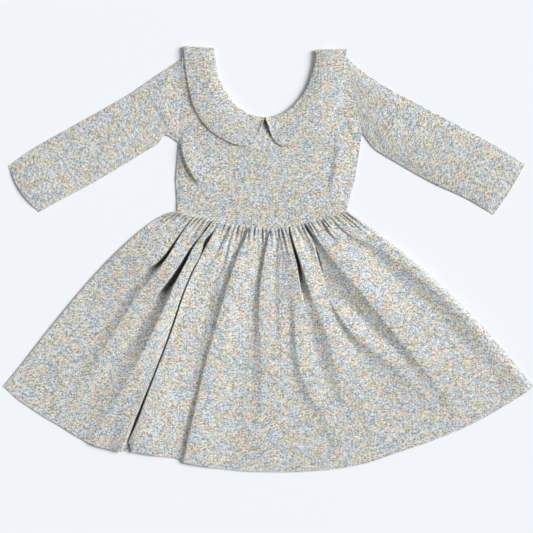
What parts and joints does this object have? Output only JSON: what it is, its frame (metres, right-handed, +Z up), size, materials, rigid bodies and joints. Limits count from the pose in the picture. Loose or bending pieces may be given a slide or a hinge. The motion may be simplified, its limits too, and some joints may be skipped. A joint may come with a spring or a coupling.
{
  "type": "twirl dress",
  "caption": "Child's long-sleeved twirl dress laid flat: fitted bodice, deep scoop neck with a rounded two-leaf collar, and a full gathered skirt fanned out.",
  "frame": {"origin": "on the surface the dress lies on, under the middle of its outline", "axes": "+X across the dress to the right as seen from above, +Y from the hem up to the neck, +Z up from the surface, out of the front"},
  "size_m": [0.7952, 0.6386, 0.0209],
  "materials": {
    "printed_cotton": "matt printed cotton, a dense small scattered flower pattern in pale blue, cream, peach, sage and olive"
  },
  "bodies": {
    "root": {"bodice_front": "printed_cotton", "bodice_back": "printed_cotton", "skirt_front": "printed_cotton", "skirt_back": "printed_cotton", "sleeve_left": "printed_cotton", "sleeve_right": "printed_cotton", "collar_left": "printed_cotton", "collar_right": "printed_cotton"}
  },
  "joints": []
}
